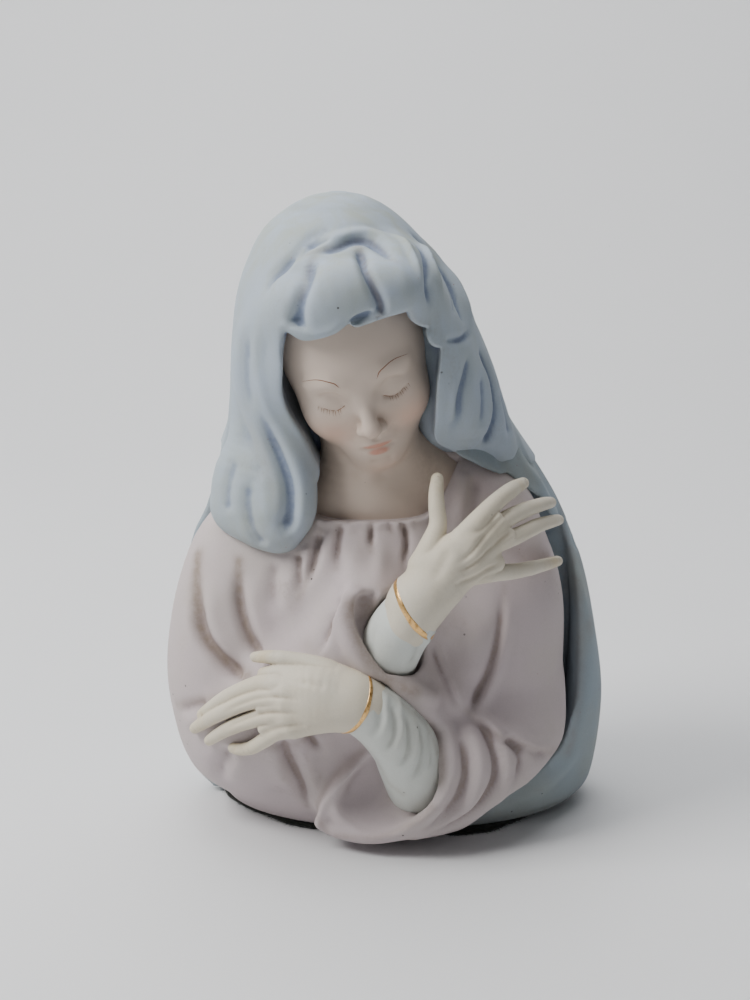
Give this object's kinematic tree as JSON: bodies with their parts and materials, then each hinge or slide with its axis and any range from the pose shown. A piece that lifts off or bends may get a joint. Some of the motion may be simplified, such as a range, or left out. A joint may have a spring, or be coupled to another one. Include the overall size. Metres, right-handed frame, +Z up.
{
  "type": "porcelain bust figurine",
  "caption": "Hollow bisque porcelain bust of a veiled lady, head bowed and hands crossed on her breast, standing on a flat felt-covered floor.",
  "frame": {"origin": "middle of the bounding box in plan, at the underside of the felt", "axes": "+Z up, the figure faces -Y, +X towards the figure's left hand side"},
  "size_m": [0.1186, 0.0894, 0.17],
  "materials": {
    "mauve_bisque": "unglazed bisque porcelain, pale mauve stain",
    "blue_bisque": "unglazed bisque porcelain, pale blue stain",
    "face_bisque": "unglazed bisque porcelain, ivory, painted features",
    "hand_bisque": "unglazed bisque porcelain, ivory",
    "pale_bisque": "unglazed bisque porcelain, white",
    "gilt": "fired gilt line",
    "felt": "black felt"
  },
  "bodies": {
    "root": {"gown_body": "mauve_bisque", "right_gown_sleeve": "mauve_bisque", "left_gown_sleeve": "mauve_bisque", "mantle": "blue_bisque", "veil_hood": "blue_bisque", "veil_lappet": "blue_bisque", "head": "face_bisque", "right_hand": "hand_bisque", "left_hand": "hand_bisque", "right_undersleeve": "pale_bisque", "left_undersleeve": "pale_bisque", "right_wrist_band": "gilt", "left_wrist_band": "gilt", "felt_base": "felt"}
  },
  "joints": []
}
